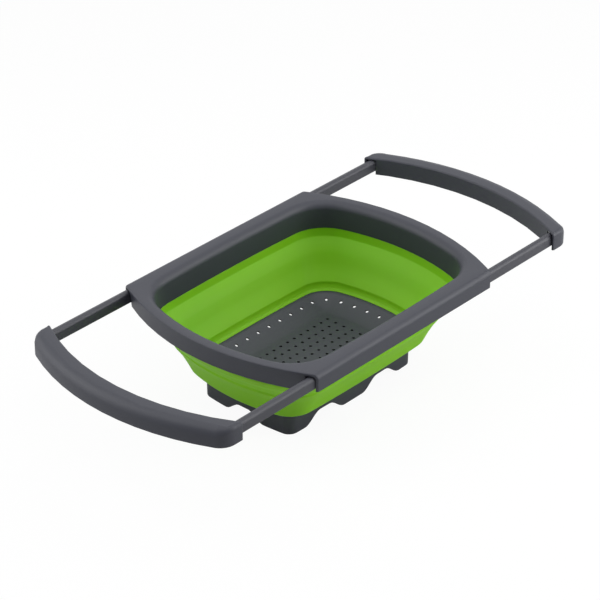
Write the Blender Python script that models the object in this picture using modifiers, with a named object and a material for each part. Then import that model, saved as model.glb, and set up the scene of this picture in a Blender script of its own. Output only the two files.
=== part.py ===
# Collapsible over-the-sink colander: a plastic rim frame with two pull-out handles,
# a folding silicone basket and a perforated base on scalloped feet.
# Metres, +Z up, +X along the handles' travel. The feet stand on z = 0, and the basket is
# open with both handles pulled out, as the object is used across a sink.

from math import ceil, cos, hypot, pi, sin, sqrt

import bmesh
import bpy
from mathutils import Matrix, Vector

# Rim frame
FRAME_HALF_LENGTH = 0.1782      # to the middle of the bowed end
FRAME_HALF_WIDTH = 0.1400
FRAME_END_RADIUS = 0.2900
FRAME_CORNER_RADIUS = 0.0010
FRAME_SIDE_RADIUS = 100.0       # the frame's own long sides are all but straight
FRAME_TOP_Z = 0.1290            # overall height of the open colander
FRAME_SKIRT_DEPTH = 0.0204      # top face to the lower edge of the long skirts
FRAME_WALL = 0.0024
FRAME_SIDE_ROUND = 0.0060       # top edge along the long sides
FRAME_END_ROUND = 0.0016        # top edge over the bowed ends
FRAME_INNER_END_ROUND = 0.0006
END_WALL_DROP = 0.0026          # the end walls hang this much lower than the skirts
END_WALL_DRAFT = 0.0026
SIDE_FLANGE_WIDTH = 0.0245      # outer edge to the neck's lower inner face, long sides
END_FLANGE_WIDTH = 0.0187       # the same at the ends
NECK_DEPTH = 0.0314             # top face to the neck's lower edge
NECK_DRAFT = 0.0015
NECK_END_RADIUS = 0.2700
NECK_CORNER_RADIUS = 0.0470
NECK_FILLET = 0.0090
SIDE_BOW_RADIUS = 2.5000        # the basket's long sides are very slightly bowed

# Rails and the channels they run in
RAIL_WIDTH = 0.0093
RAIL_HEIGHT = 0.0142
RAIL_TOP_RADIUS = 0.0042
RAIL_FOOT_RADIUS = 0.0018
RAIL_SIDE_GAP = 0.0009          # rail to the outer skirt
RAIL_GUIDE_GAP = 0.0005         # rail to the inner guide wall
RAIL_ROOF_GAP = 0.0015          # rail to the underside of the flange
GUIDE_WALL = 0.0020
CHANNEL_COVER_THICKNESS = 0.0017
CHANNEL_COVER_SETBACK = 0.0120  # cover's end back from the channel's mouth
STOP_RIB_LENGTH = 0.0030
SHOE_LENGTH = 0.0180
SHOE_TONGUE = 0.0090
SHOE_WALL = 0.0016
SHOE_EDGE = 0.0006
SHOE_TOP_ROUND = 0.0030
SHOE_MOUTH_SETBACK = 0.0130     # pulled-out shoe back from the channel's mouth
SHOE_MIDDLE_GAP = 0.0015        # closed shoe to the middle of the frame

# Handle grips
GRIP_CLOSED_GAP = 0.0027        # closed grip to the frame's end
GRIP_WIDTH = 0.0235
GRIP_RADIUS_DROP = 0.0060       # grip's inner radius under the frame's end radius
GRIP_OUTER_RADIUS_RISE = 0.0100  # grip's outer radius over the frame's end radius
GRIP_OVERHANG = 0.0005          # grip's half-width over the frame's
GRIP_TOP_DROP = 0.0006          # grip's top under the frame's top
GRIP_HEIGHT = 0.0212
GRIP_WALL = 0.0024
GRIP_OUTER_ROUND = 0.0105       # top edge along the outside of the bow
GRIP_END_ROUND = 0.0042         # top edge over the bow's two ends
GRIP_INNER_ROUND = 0.0020
GRIP_PLAN_CORNER = 0.0200
GRIP_INNER_CORNER = 0.0015
RAIL_GRIP_DEPTH = 0.0155        # how far a rail reaches into its grip
GRIP_BOSS_RADIUS = 0.0029
GRIP_BOSS_SETBACK = 0.0062      # boss axis back from the rail's outer end
RAIL_WEB = 0.0030               # rail floor that the grip screw clamps

# Screws
SCREW_SHANK_RADIUS = 0.0012
SCREW_HEAD_RADIUS = 0.0024
SCREW_HEAD_HEIGHT = 0.0018
SCREW_RIM_SHARE = 0.4           # pan head: height of its rim, and width of its flat crown
SCREW_CROWN_SHARE = 0.7
GRIP_SCREW_LENGTH = 0.0090
COVER_SCREW_LENGTH = 0.0080
COVER_SCREW_HEAD_HEIGHT = 0.0012
COVER_BOSS_RADIUS = 0.0025
COVER_SCREW_SHARES = (-0.75, -0.25, 0.25, 0.75)   # places along half the cover

# Silicone basket
BASE_EDGE_Z = 0.0386            # top of the base plate's edge above the table
BASE_HALF_LENGTH = 0.1200
BASE_HALF_WIDTH = 0.0800
BASE_END_RADIUS = 0.2310
BASE_CORNER_RADIUS = 0.0340
COLLAR_HEIGHT = 0.0070          # silicone lapped round the outside of the neck
COLLAR_WALL = 0.0022
BEAD_SEAT = 0.0020              # plate edge held in the silicone bead
BEAD_DROP = 0.0065              # bead's lower edge under the plate's top
BEAD_WALL = 0.0026
BEAD_FOOT_SHARE = 0.60
BEAD_TOE_SHARE = 0.20
SHOULDER_WALL = 0.0058          # outer fold just over the bead
FOLD_WALL = 0.0032              # the outer folds above it
# folds from the bead up, as shares of the way out from the base's outline to the neck's
# and of the way up from the base plate's edge to the neck
OUTER_FOLD_SHARES = ((0.105, 0.142), (0.650, 0.675), (0.700, 0.753))
INNER_FOLD_SHARES = ((0.110, 0.136), (0.150, 0.214), (0.830, 0.827), (0.945, 0.871))
OUTER_CORNER_TRIM = 0.0080      # the folds' outer corners are tighter than the inner ones

# Base plate
PLATE_THICKNESS = 0.0018
PLATE_RIM_WIDTH = 0.0025        # level rim inside the bead
PLATE_SLOPE_WIDTH = 0.0320
PLATE_SLOPE_DROP = 0.0105
PLATE_SLOPE_SHARES = (0.0, 0.42, 1.0)   # rings of the dished slope, from rim to floor
FLOOR_CORNER_RADIUS = 0.0060    # corners of the level floor inside the slope
RIM_HOLE_RADIUS = 0.0019
RIM_HOLE_INSET = 0.0112
RIM_HOLE_PITCH = 0.0178
FLOOR_HOLE_RADIUS = 0.0015
FLOOR_HOLE_PITCH_X = 0.0113
FLOOR_HOLE_PITCH_Y = 0.0122
FLOOR_HOLE_MARGIN = 0.0060
RIM_HOLE_SIDES = 8
FLOOR_HOLE_SIDES = 6

# Foot ring under the base
FOOT_INSET = 0.0133
FOOT_CORNER_RADIUS = 0.0125
FOOT_END_RADIUS = 0.4400
FOOT_DRAFT = 0.0004
FOOT_WALL = 0.0024
SIDE_ARCH_HEIGHT = 0.0130
END_ARCH_HEIGHT = 0.0115
SIDE_ARCH_MIDDLE_SHARE = 0.44   # arch places and widths, as shares of the ring's half sizes
SIDE_ARCH_HALF_SHARE = 0.30
END_ARCH_HALF_SHARE = 0.42
ARCH_CROWN_SHARE = 0.22         # level top of an arch, as a share of its half width

# Fits
GAP = 0.0003                    # between pieces that touch
CUT = 0.0040                    # overrun of every cutter

# Facets
ROUND_SHARES = (0.53, 0.80, 0.95, 1.0)   # the frame's end arc, from the guide wall to the corner
END_STEPS = 5
CORNER_STEPS = 6
SIDE_STEPS = 3
ROUND_STEPS = 3
SCREW_SIDES = 10
FOOT_STEP = 0.0048

# Colours: linear base colour, roughness
FRAME_GREY = ((0.085, 0.088, 0.100), 0.48)
RAIL_GREY = ((0.080, 0.082, 0.090), 0.46)
BASE_GREY = ((0.062, 0.070, 0.074), 0.50)
SILICONE_GREEN = ((0.140, 0.390, 0.020), 0.42)
NATURAL_PLASTIC = ((0.60, 0.60, 0.58), 0.40)
SCREW_STEEL = ((0.55, 0.55, 0.56), 0.30)

# Levels and places worked out from the sizes above
skirt_z = FRAME_TOP_Z - FRAME_SKIRT_DEPTH
roof_z = FRAME_TOP_Z - FRAME_WALL
neck_z = FRAME_TOP_Z - NECK_DEPTH
neck_half_length = FRAME_HALF_LENGTH - END_FLANGE_WIDTH
neck_half_width = FRAME_HALF_WIDTH - SIDE_FLANGE_WIDTH
rail_y = FRAME_HALF_WIDTH - FRAME_WALL - RAIL_SIDE_GAP - RAIL_WIDTH / 2
rail_top_z = roof_z - RAIL_ROOF_GAP
rail_foot_z = rail_top_z - RAIL_HEIGHT
guide_outer_y = rail_y - RAIL_WIDTH / 2 - RAIL_GUIDE_GAP
guide_inner_y = guide_outer_y - GUIDE_WALL
channel_outer_y = FRAME_HALF_WIDTH - FRAME_WALL
cover_top_z = rail_foot_z - GAP
grip_inner_radius = FRAME_END_RADIUS - GRIP_RADIUS_DROP
grip_outer_radius = FRAME_END_RADIUS + GRIP_OUTER_RADIUS_RISE
grip_half_width = FRAME_HALF_WIDTH + GRIP_OVERHANG
grip_top_z = FRAME_TOP_Z - GRIP_TOP_DROP
grip_foot_z = grip_top_z - GRIP_HEIGHT
plate_floor_z = BASE_EDGE_Z - PLATE_SLOPE_DROP
bead_z = BASE_EDGE_Z - BEAD_DROP


def arc_x(half_length, radius, y):
    # x of a bowed end, whose middle is at half_length, at the given y
    return half_length - radius + sqrt(radius * radius - y * y)


channel_mouth_x = arc_x(FRAME_HALF_LENGTH, FRAME_END_RADIUS, channel_outer_y)
cover_half_length = channel_mouth_x - CHANNEL_COVER_SETBACK
shoe_outer_x = channel_mouth_x - SHOE_MOUTH_SETBACK
handle_travel = shoe_outer_x - SHOE_LENGTH - SHOE_MIDDLE_GAP
grip_inner_x = FRAME_HALF_LENGTH + GRIP_CLOSED_GAP + handle_travel
grip_outer_x = grip_inner_x + GRIP_WIDTH
rail_outer_x = arc_x(grip_inner_x, grip_inner_radius, rail_y) + RAIL_GRIP_DEPTH
grip_boss_x = rail_outer_x - GRIP_BOSS_SETBACK
cover_boss_y = (guide_inner_y + neck_half_width + NECK_DRAFT + FRAME_WALL) / 2
grip_boss_z = rail_foot_z + SCREW_HEAD_HEIGHT + GAP + RAIL_WEB + GAP


# Scene, collections and objects

for old in list(bpy.data.objects):
    bpy.data.objects.remove(old, do_unlink=True)

part_collection = bpy.data.collections.new("collapsible_colander")
cutter_collection = bpy.data.collections.new("cutters")
bpy.context.scene.collection.children.link(part_collection)
bpy.context.scene.collection.children.link(cutter_collection)


def make_material(name, finish):
    colour, roughness = finish
    material = bpy.data.materials.new(name)
    material.use_nodes = True
    shader = material.node_tree.nodes["Principled BSDF"]
    shader.inputs["Base Color"].default_value = (*colour, 1.0)
    shader.inputs["Roughness"].default_value = roughness
    shader.inputs["Metallic"].default_value = 1.0 if finish is SCREW_STEEL else 0.0
    return material


def add_object(name, mesh, finish=None, cutter=False):
    thing = bpy.data.objects.new(name, mesh)
    if cutter:
        cutter_collection.objects.link(thing)
        thing.hide_render = True
        thing.display_type = "WIRE"
    else:
        part_collection.objects.link(thing)
        if not mesh.materials:
            mesh.materials.append(make_material(name, finish))
    return thing


def mesh_from(bm, name):
    bmesh.ops.recalc_face_normals(bm, faces=bm.faces[:])
    mesh = bpy.data.meshes.new(name)
    bm.to_mesh(mesh)
    bm.free()
    mesh.set_sharp_from_angle(angle=pi / 5)
    return mesh


def boolean(thing, other, operation, overlapping=False):
    modifier = thing.modifiers.new(operation.lower(), "BOOLEAN")
    modifier.object = other
    modifier.operation = operation
    modifier.solver = "EXACT"
    modifier.use_self = overlapping


def set_body(thing, empty):
    # keep the piece where it is and let it travel with its body's empty
    thing.location = thing.location - empty.location
    thing.parent = empty


def body_empty(name, place):
    empty = bpy.data.objects.new(name, None)
    empty.empty_display_size = GRIP_WIDTH
    empty.location = place
    part_collection.objects.link(empty)
    return empty


# Outlines and lofts

def arc_points(centre, radius, start, end, steps):
    # points on an arc from start to end, both angles in radians, with the first left out
    return [
        Vector((centre[0] + radius * cos(start + (end - start) * i / steps),
                centre[1] + radius * sin(start + (end - start) * i / steps)))
        for i in range(1, steps + 1)
    ]


def oval(half_length, half_width, end_radius, side_radius, corner_radius, steps, split_y=None):
    # A rounded oblong with bowed ends and sides, counter-clockwise from the middle of +X.
    # Each corner arc touches the end arc and the side arc. split_y puts a point of the
    # end arc at that y, so that a wall can stop there, and the rest of the arc gets its
    # points where the long side's round needs them.
    end_steps, corner_steps, side_steps = steps
    end_c = half_length - end_radius
    side_c = half_width - side_radius
    # the corner arc's centre lies at known distances from both of the big arcs' centres
    a = end_radius - corner_radius
    b = side_radius - corner_radius
    span = hypot(end_c, side_c)
    along = (a * a - b * b + span * span) / (2 * span)
    across = sqrt(max(a * a - along * along, 0.0))
    ux, uy = -end_c / span, side_c / span
    corner = max(
        (Vector((end_c + ux * along - uy * across * s, uy * along + ux * across * s)) for s in (-1, 1)),
        key=lambda p: p.x + p.y,
    )
    end_angle = Vector((corner.x - end_c, corner.y)).angle_signed(Vector((1.0, 0.0)))
    side_angle = pi / 2 - Vector((corner.x, corner.y - side_c)).angle_signed(Vector((0.0, 1.0))) * -1
    quarter = [Vector((half_length, 0.0))]
    if split_y is None:
        quarter += arc_points((end_c, 0.0), end_radius, 0.0, end_angle, end_steps)
    else:
        split = Vector((sqrt(end_radius * end_radius - split_y * split_y), split_y))
        split_angle = split.angle_signed(Vector((1.0, 0.0)))
        quarter += arc_points((end_c, 0.0), end_radius, 0.0, split_angle, end_steps - len(ROUND_SHARES))
        end_y = end_radius * sin(end_angle)
        for share in ROUND_SHARES:
            y = split_y + (end_y - split_y) * share
            quarter.append(Vector((end_c + sqrt(end_radius * end_radius - y * y), y)))
    quarter += arc_points(corner, corner_radius, end_angle, side_angle, corner_steps)
    quarter += arc_points((0.0, side_c), side_radius, side_angle, pi / 2, side_steps)
    loop = list(quarter)
    loop += [Vector((-p.x, p.y)) for p in reversed(quarter[:-1])]
    loop += [Vector((-p.x, -p.y)) for p in quarter[1:]]
    loop += [Vector((p.x, -p.y)) for p in reversed(quarter[1:-1])]
    return loop


# the frame's outline has as many points as the basket's, with more of them along its ends
STEPS = (END_STEPS, CORNER_STEPS, SIDE_STEPS)
FRAME_STEPS = (END_STEPS + CORNER_STEPS - 1, 1, SIDE_STEPS)


def frame_outline(end_offset, side_offset=None):
    # the offsets grow the outline at the bowed ends and at the long sides
    side_offset = end_offset if side_offset is None else side_offset
    return oval(
        FRAME_HALF_LENGTH + end_offset, FRAME_HALF_WIDTH + side_offset, FRAME_END_RADIUS + end_offset,
        FRAME_SIDE_RADIUS, FRAME_CORNER_RADIUS, FRAME_STEPS, guide_outer_y,
    )


def basket_outline(share, offset, steps=STEPS, trim=0.0):
    # the basket's family of outlines: share 0 is the base plate's edge, 1 is the neck
    def blend(low, high):
        return low + (high - low) * share

    return oval(
        blend(BASE_HALF_LENGTH, neck_half_length) + offset,
        blend(BASE_HALF_WIDTH, neck_half_width) + offset,
        blend(BASE_END_RADIUS, NECK_END_RADIUS) + offset,
        SIDE_BOW_RADIUS + offset,
        max(blend(BASE_CORNER_RADIUS, NECK_CORNER_RADIUS) + offset - trim, FLOOR_CORNER_RADIUS),
        steps,
    )


def raise_loop(points, z):
    return [Vector((p.x, p.y, z)) for p in points]


def loft(name, loops, closed):
    # skin a run of equal loops; closed joins the last to the first, else both ends are capped
    bm = bmesh.new()
    rings = [[bm.verts.new(p) for p in loop] for loop in loops]
    pairs = list(zip(rings, rings[1:]))
    if closed:
        pairs.append((rings[-1], rings[0]))
    for lower, upper in pairs:
        count = len(lower)
        for i in range(count):
            j = (i + 1) % count
            bm.faces.new((lower[i], lower[j], upper[j], upper[i]))
    if not closed:
        bm.faces.new(rings[0])
        bm.faces.new(rings[-1])
    return mesh_from(bm, name)


def box_into(bm, low, high):
    # a box between two corners, added to a bmesh
    low, high = Vector(low), Vector(high)
    size = high - low
    matrix = Matrix.Translation((low + high) / 2) @ Matrix.Diagonal((*size, 1.0))
    bmesh.ops.create_cube(bm, size=1.0, matrix=matrix)


def post_into(bm, x, y, low_z, high_z, radius, sides):
    matrix = Matrix.Translation((x, y, (low_z + high_z) / 2))
    bmesh.ops.create_cone(
        bm, cap_ends=True, segments=sides, radius1=radius, radius2=radius,
        depth=high_z - low_z, matrix=matrix,
    )


# Rim frame

def lower_edge(offset):
    # lower edge of the skirts, which dips and draws in under the end walls
    drafted = frame_outline(offset - END_WALL_DRAFT, offset)
    points = []
    for plain, inset in zip(frame_outline(offset), drafted):
        is_end = abs(plain.y) <= guide_outer_y + GAP and abs(plain.x) > channel_mouth_x - CUT
        point = inset if is_end else plain
        z = skirt_z - END_WALL_DROP if is_end else skirt_z
        points.append(Vector((point.x, point.y, z)))
    return points


def rounded_loop(skin, turn):
    # one loop over the top edge of the frame's skin, which is 0 outside and the wall inside.
    # The round along the long sides runs out to the bowed ends, which have a small one.
    side_round = FRAME_SIDE_ROUND - skin
    end_round = FRAME_END_ROUND if skin == 0.0 else FRAME_INNER_END_ROUND
    flat_y = FRAME_HALF_WIDTH - FRAME_SIDE_ROUND
    inward, down = 1 - cos(turn), 1 - sin(turn)
    outline = frame_outline(-skin - end_round * inward, -skin - side_round * inward)
    quarter = sum(FRAME_STEPS)
    loop = []
    for i, p in enumerate(outline):
        step = i % (2 * quarter)
        on_side = min(step, 2 * quarter - step) > FRAME_STEPS[0]
        over = min(max(abs(p.y) - flat_y, 0.0), side_round)
        side_drop = side_round - sqrt(side_round * side_round - over * over)
        drop = side_round * down if on_side else min(side_drop + end_round * down, side_round)
        loop.append(Vector((p.x, p.y, FRAME_TOP_Z - skin - drop)))
    return loop


def frame_core():
    # the space between the skirts' and the flange's mid faces, which trims the guide walls
    half = FRAME_WALL / 2
    loops = [
        raise_loop(lower_edge(-half), skirt_z - END_WALL_DROP),
        raise_loop(frame_outline(-half), FRAME_TOP_Z - FRAME_SIDE_ROUND),
        raise_loop(frame_outline(-FRAME_WALL, -FRAME_SIDE_ROUND), roof_z + half),
    ]
    return loft("frame_core", loops, False)


def frame_edge_loops():
    # the outer skirt and end walls from their lower edge up, over the flange's outer edge
    turns = [pi / 2 * i / ROUND_STEPS for i in range(ROUND_STEPS + 1)]
    outer = [lower_edge(0.0)] + [rounded_loop(0.0, turn) for turn in turns]
    inner = [rounded_loop(FRAME_WALL, turn) for turn in (pi / 2, pi / 4, 0.0)]
    inner.append(lower_edge(-FRAME_WALL))
    return outer, inner


def neck_loops():
    # the soft edge round the opening and the wall that the silicone hangs from
    centre = NECK_DRAFT + NECK_FILLET
    steps = ROUND_STEPS + 1
    inner, outer = [], []
    for i in range(steps + 1):
        turn = pi / 2 * (1 - i / steps)
        rise = NECK_FILLET * (1 - sin(turn))
        inner.append(raise_loop(basket_outline(1.0, centre - NECK_FILLET * cos(turn)), FRAME_TOP_Z - rise))
    inner.append(raise_loop(basket_outline(1.0, 0.0), neck_z))
    outer.append(raise_loop(basket_outline(1.0, FRAME_WALL), neck_z))
    under = NECK_FILLET - FRAME_WALL
    for i in range(ROUND_STEPS):
        turn = pi / 2 * i / (ROUND_STEPS - 1)
        z = FRAME_TOP_Z - NECK_FILLET + under * sin(turn)
        outer.append(raise_loop(basket_outline(1.0, centre - under * cos(turn)), z))
    return inner, outer


def neck_core():
    # the opening, out to the middle of the neck's wall and of its soft edge, which trims the bosses
    half = FRAME_WALL / 2
    centre, radius = NECK_DRAFT + NECK_FILLET, NECK_FILLET - half
    loops = [raise_loop(basket_outline(1.0, half), neck_z)]
    for i in range(ROUND_STEPS + 1):
        turn = pi / 2 * i / ROUND_STEPS
        z = FRAME_TOP_Z - NECK_FILLET + radius * sin(turn)
        loops.append(raise_loop(basket_outline(1.0, centre - radius * cos(turn)), z))
    loops.append(raise_loop(basket_outline(1.0, centre), FRAME_TOP_Z))
    return loft("neck_core", loops, False)


def mouth_into(bm, side, end):
    low_x, high_x = shoe_outer_x + STOP_RIB_LENGTH + CUT, FRAME_HALF_LENGTH + CUT
    low_y, high_y = guide_outer_y + RAIL_GUIDE_GAP / 2, channel_outer_y - RAIL_SIDE_GAP / 4
    low_z, high_z = skirt_z - END_WALL_DROP - CUT, roof_z - RAIL_ROOF_GAP / 4
    radius = FRAME_SIDE_ROUND - FRAME_WALL
    section = [Vector((high_y, low_z)), Vector((high_y, high_z - radius))]
    section += arc_points((high_y - radius, high_z - radius), radius, 0.0, pi / 2, ROUND_STEPS)
    section += [Vector((low_y, high_z)), Vector((low_y, low_z))]
    rings = [[bm.verts.new((end * x, side * p.x, p.y)) for p in section] for x in (low_x, high_x)]
    for i in range(len(section)):
        j = (i + 1) % len(section)
        bm.faces.new((rings[0][i], rings[0][j], rings[1][j], rings[1][i]))
    for ring in rings:
        bm.faces.new(ring)


def build_rim_frame():
    edge_outer, edge_inner = frame_edge_loops()
    neck_inner, neck_outer = neck_loops()
    frame = add_object(
        "rim_frame", loft("rim_frame", edge_outer + neck_inner + neck_outer + edge_inner, True), FRAME_GREY,
    )

    # guide walls beside the rails, screw bosses and the stops at the channels' mouths
    guides, stops, bosses = bmesh.new(), bmesh.new(), bmesh.new()
    for side in (-1, 1):
        low_y, high_y = sorted((side * guide_inner_y, side * guide_outer_y))
        box_into(guides, (-FRAME_HALF_LENGTH, low_y, rail_foot_z), (FRAME_HALF_LENGTH, high_y, FRAME_TOP_Z))
        for share in COVER_SCREW_SHARES:
            post_into(
                bosses, share * cover_half_length, side * cover_boss_y,
                rail_foot_z, roof_z + FRAME_WALL / 2, COVER_BOSS_RADIUS, SCREW_SIDES,
            )
        for end in (-1, 1):
            low_x, high_x = sorted((end * (shoe_outer_x + GAP), end * (shoe_outer_x + GAP + STOP_RIB_LENGTH)))
            low_y, high_y = sorted((side * guide_outer_y, side * (rail_y + RAIL_WIDTH / 4)))
            box_into(stops, (low_x, low_y, rail_top_z + GAP), (high_x, high_y, roof_z))
    guide = add_object("frame_guides", mesh_from(guides, "frame_guides"), cutter=True)
    boolean(guide, add_object("frame_core", frame_core(), cutter=True), "INTERSECT")
    boolean(frame, guide, "UNION")
    posts = add_object("frame_bosses", mesh_from(bosses, "frame_bosses"), cutter=True)
    boolean(posts, add_object("neck_core", neck_core(), cutter=True), "DIFFERENCE")
    boolean(frame, posts, "UNION")
    boolean(frame, add_object("frame_stops", mesh_from(stops, "frame_stops"), cutter=True), "UNION")

    # the mouths that the rails come out of, which follow the flange's round, and the
    # screws' pilot holes
    cuts = bmesh.new()
    for side in (-1, 1):
        for end in (-1, 1):
            mouth_into(cuts, side, end)
        for share in COVER_SCREW_SHARES:
            post_into(
                cuts, share * cover_half_length, side * cover_boss_y,
                rail_foot_z - CUT, cover_top_z + COVER_SCREW_LENGTH,
                SCREW_SHANK_RADIUS + GAP, SCREW_SIDES,
            )
    boolean(frame, add_object("frame_cuts", mesh_from(cuts, "frame_cuts"), cutter=True), "DIFFERENCE")
    return frame


# Silicone basket

def fold_loop(share, offset, z, trim=0.0):
    outline = basket_outline(share, offset, STEPS, trim)
    return raise_loop(outline, z)


def build_basket():
    lap = FRAME_WALL + GAP
    collar_lean = NECK_DRAFT * COLLAR_HEIGHT / (NECK_DEPTH - NECK_FILLET)
    seat_top = BASE_EDGE_Z + GAP
    seat_foot = BASE_EDGE_Z - PLATE_THICKNESS - GAP
    seat_back = BEAD_SEAT + GAP
    collar_z = neck_z + COLLAR_HEIGHT
    trim = OUTER_CORNER_TRIM
    # up the outside, over the collar round the neck, and down the inside
    loops = [
        fold_loop(0.0, BEAD_WALL * BEAD_FOOT_SHARE, bead_z, trim),
        fold_loop(0.0, seat_back + BEAD_WALL * BEAD_FOOT_SHARE, bead_z + BEAD_WALL, trim),
    ]
    rise = neck_z - BASE_EDGE_Z
    for number, (out_share, up_share) in enumerate(OUTER_FOLD_SHARES):
        wall = FOLD_WALL if number else SHOULDER_WALL
        loops.append(fold_loop(out_share, wall, BASE_EDGE_Z + rise * up_share, trim))
    loops += [
        fold_loop(1.0, lap + COLLAR_WALL, neck_z - GAP),
        fold_loop(1.0, lap + collar_lean + COLLAR_WALL, collar_z),
        fold_loop(1.0, lap + collar_lean, collar_z),
        fold_loop(1.0, lap, neck_z - GAP),
        fold_loop(1.0, 0.0, neck_z - GAP),
    ]
    for out_share, up_share in reversed(INNER_FOLD_SHARES):
        loops.append(fold_loop(out_share, 0.0, BASE_EDGE_Z + rise * up_share))
    loops += [
        fold_loop(0.0, -GAP, seat_top),
        fold_loop(0.0, seat_back, seat_top),
        fold_loop(0.0, seat_back, seat_foot),
        fold_loop(0.0, -BEAD_WALL * BEAD_FOOT_SHARE, seat_foot),
        fold_loop(0.0, -BEAD_WALL * BEAD_TOE_SHARE, bead_z),
    ]
    return add_object("silicone_basket", loft("silicone_basket", loops, True), SILICONE_GREEN)


# Base plate and foot ring

def plate_top(inset):
    # height of the plate's upper face at this distance in from its nominal edge
    if inset <= PLATE_RIM_WIDTH:
        return BASE_EDGE_Z
    share = min((inset - PLATE_RIM_WIDTH) / PLATE_SLOPE_WIDTH, 1.0)
    return BASE_EDGE_Z - PLATE_SLOPE_DROP * (2 - share) * share


def walk(points, pitch):
    # places evenly spaced along a closed outline, near the given pitch, and the way inward
    lengths = [(points[i - 1] - points[i]).length for i in range(len(points))]
    count = max(round(sum(lengths) / pitch / 4), 1) * 4
    step = sum(lengths) / count
    places, travelled, wanted = [], 0.0, 0.0
    for i in range(len(points)):
        start, end = points[i - 1], points[i]
        while wanted < travelled + lengths[i] and len(places) < count:
            inward = Vector((start.y - end.y, end.x - start.x)).normalized()
            places.append((start.lerp(end, (wanted - travelled) / lengths[i]), inward))
            wanted += step
        travelled += lengths[i]
    return places


def arch_lift(distance, half_width, height):
    # lift of the foot ring's edge at this distance from an arch's middle, as an S-curve
    crown = half_width * ARCH_CROWN_SHARE
    if distance >= half_width:
        return 0.0
    if distance <= crown:
        return height
    share = (distance - crown) / (half_width - crown)
    return height * (1 + cos(pi * share)) / 2


def foot_edge_z(point):
    half_x = BASE_HALF_LENGTH - FOOT_INSET
    half_y = BASE_HALF_WIDTH - FOOT_INSET
    side = arch_lift(
        abs(abs(point.x) - half_x * SIDE_ARCH_MIDDLE_SHARE), half_x * SIDE_ARCH_HALF_SHARE, SIDE_ARCH_HEIGHT,
    )
    end = arch_lift(abs(point.y), half_y * END_ARCH_HALF_SHARE, END_ARCH_HEIGHT)
    on_end = abs(point.x) > half_x * (SIDE_ARCH_MIDDLE_SHARE + SIDE_ARCH_HALF_SHARE)
    return end if on_end else side


def foot_outline(inset, steps):
    return oval(
        BASE_HALF_LENGTH - FOOT_INSET - inset, BASE_HALF_WIDTH - FOOT_INSET - inset,
        FOOT_END_RADIUS - inset, SIDE_BOW_RADIUS - inset, FOOT_CORNER_RADIUS - inset, steps,
    )


def inset_of(point, outline):
    # distance from a point in plan to a closed outline
    nearest = BASE_HALF_LENGTH
    for i in range(len(outline)):
        start, end = outline[i - 1], outline[i]
        along = (point - start).dot(end - start) / (end - start).length_squared
        foot = start.lerp(end, min(max(along, 0.0), 1.0))
        nearest = min(nearest, (point - foot).length)
    return nearest


def foot_ring():
    # a skirt with scalloped feet, whose top is sunk half way into the plate
    steps = (
        ceil((BASE_HALF_WIDTH - FOOT_INSET) / FOOT_STEP / 2),
        CORNER_STEPS,
        ceil((BASE_HALF_LENGTH - FOOT_INSET) / FOOT_STEP),
    )
    edge = basket_outline(0.0, 0.0)

    def top(p):
        return plate_top(inset_of(p, edge)) - PLATE_THICKNESS / 2

    def loop(inset, z_of):
        return [Vector((p.x, p.y, z_of(p))) for p in foot_outline(inset, steps)]

    return loft("foot_ring", [
        loop(FOOT_DRAFT, foot_edge_z), loop(0.0, top), loop(FOOT_WALL, top),
        loop(FOOT_DRAFT + FOOT_WALL, foot_edge_z),
    ], True)


def build_base():
    stops = [-BEAD_SEAT] + [PLATE_RIM_WIDTH + PLATE_SLOPE_WIDTH * share for share in PLATE_SLOPE_SHARES]
    top = [raise_loop(basket_outline(0.0, -inset), plate_top(inset)) for inset in stops]
    under = [[p - Vector((0.0, 0.0, PLATE_THICKNESS)) for p in loop] for loop in top]
    base = add_object("strainer_base", loft("strainer_base", under[::-1] + top, False), BASE_GREY)

    boolean(base, add_object("foot_ring", foot_ring(), cutter=True), "UNION")

    # rim holes follow the edge and stand square to the slope, floor holes in a square grid
    holes = bmesh.new()
    low_z = plate_floor_z - PLATE_THICKNESS - CUT
    outline = basket_outline(0.0, -RIM_HOLE_INSET)
    hole_z = plate_top(RIM_HOLE_INSET) - PLATE_THICKNESS / 2
    slope = (plate_top(RIM_HOLE_INSET - GAP) - plate_top(RIM_HOLE_INSET + GAP)) / (GAP * 2)
    for place, inward in walk(outline, RIM_HOLE_PITCH):
        axis = Vector((inward.x * slope, inward.y * slope, 1.0))
        matrix = Matrix.Translation((place.x, place.y, hole_z)) @ axis.to_track_quat("Z", "Y").to_matrix().to_4x4()
        bmesh.ops.create_cone(
            holes, cap_ends=True, segments=RIM_HOLE_SIDES, radius1=RIM_HOLE_RADIUS,
            radius2=RIM_HOLE_RADIUS, depth=CUT, matrix=matrix,
        )
    floor_inset = PLATE_RIM_WIDTH + PLATE_SLOPE_WIDTH
    half_y = BASE_HALF_WIDTH - floor_inset - FLOOR_HOLE_MARGIN
    half_x = arc_x(BASE_HALF_LENGTH, BASE_END_RADIUS, half_y) - floor_inset - FLOOR_HOLE_MARGIN
    columns = int(2 * half_x / FLOOR_HOLE_PITCH_X) + 1
    rows = int(2 * half_y / FLOOR_HOLE_PITCH_Y) + 1
    for column in range(columns):
        for row in range(rows):
            x = (column - (columns - 1) / 2) * FLOOR_HOLE_PITCH_X
            y = (row - (rows - 1) / 2) * FLOOR_HOLE_PITCH_Y
            post_into(holes, x, y, low_z, BASE_EDGE_Z, FLOOR_HOLE_RADIUS, FLOOR_HOLE_SIDES)
    boolean(base, add_object("base_holes", mesh_from(holes, "base_holes"), cutter=True), "DIFFERENCE")
    return base


# Handles, modelled for the +X end and mirrored for the other

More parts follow.
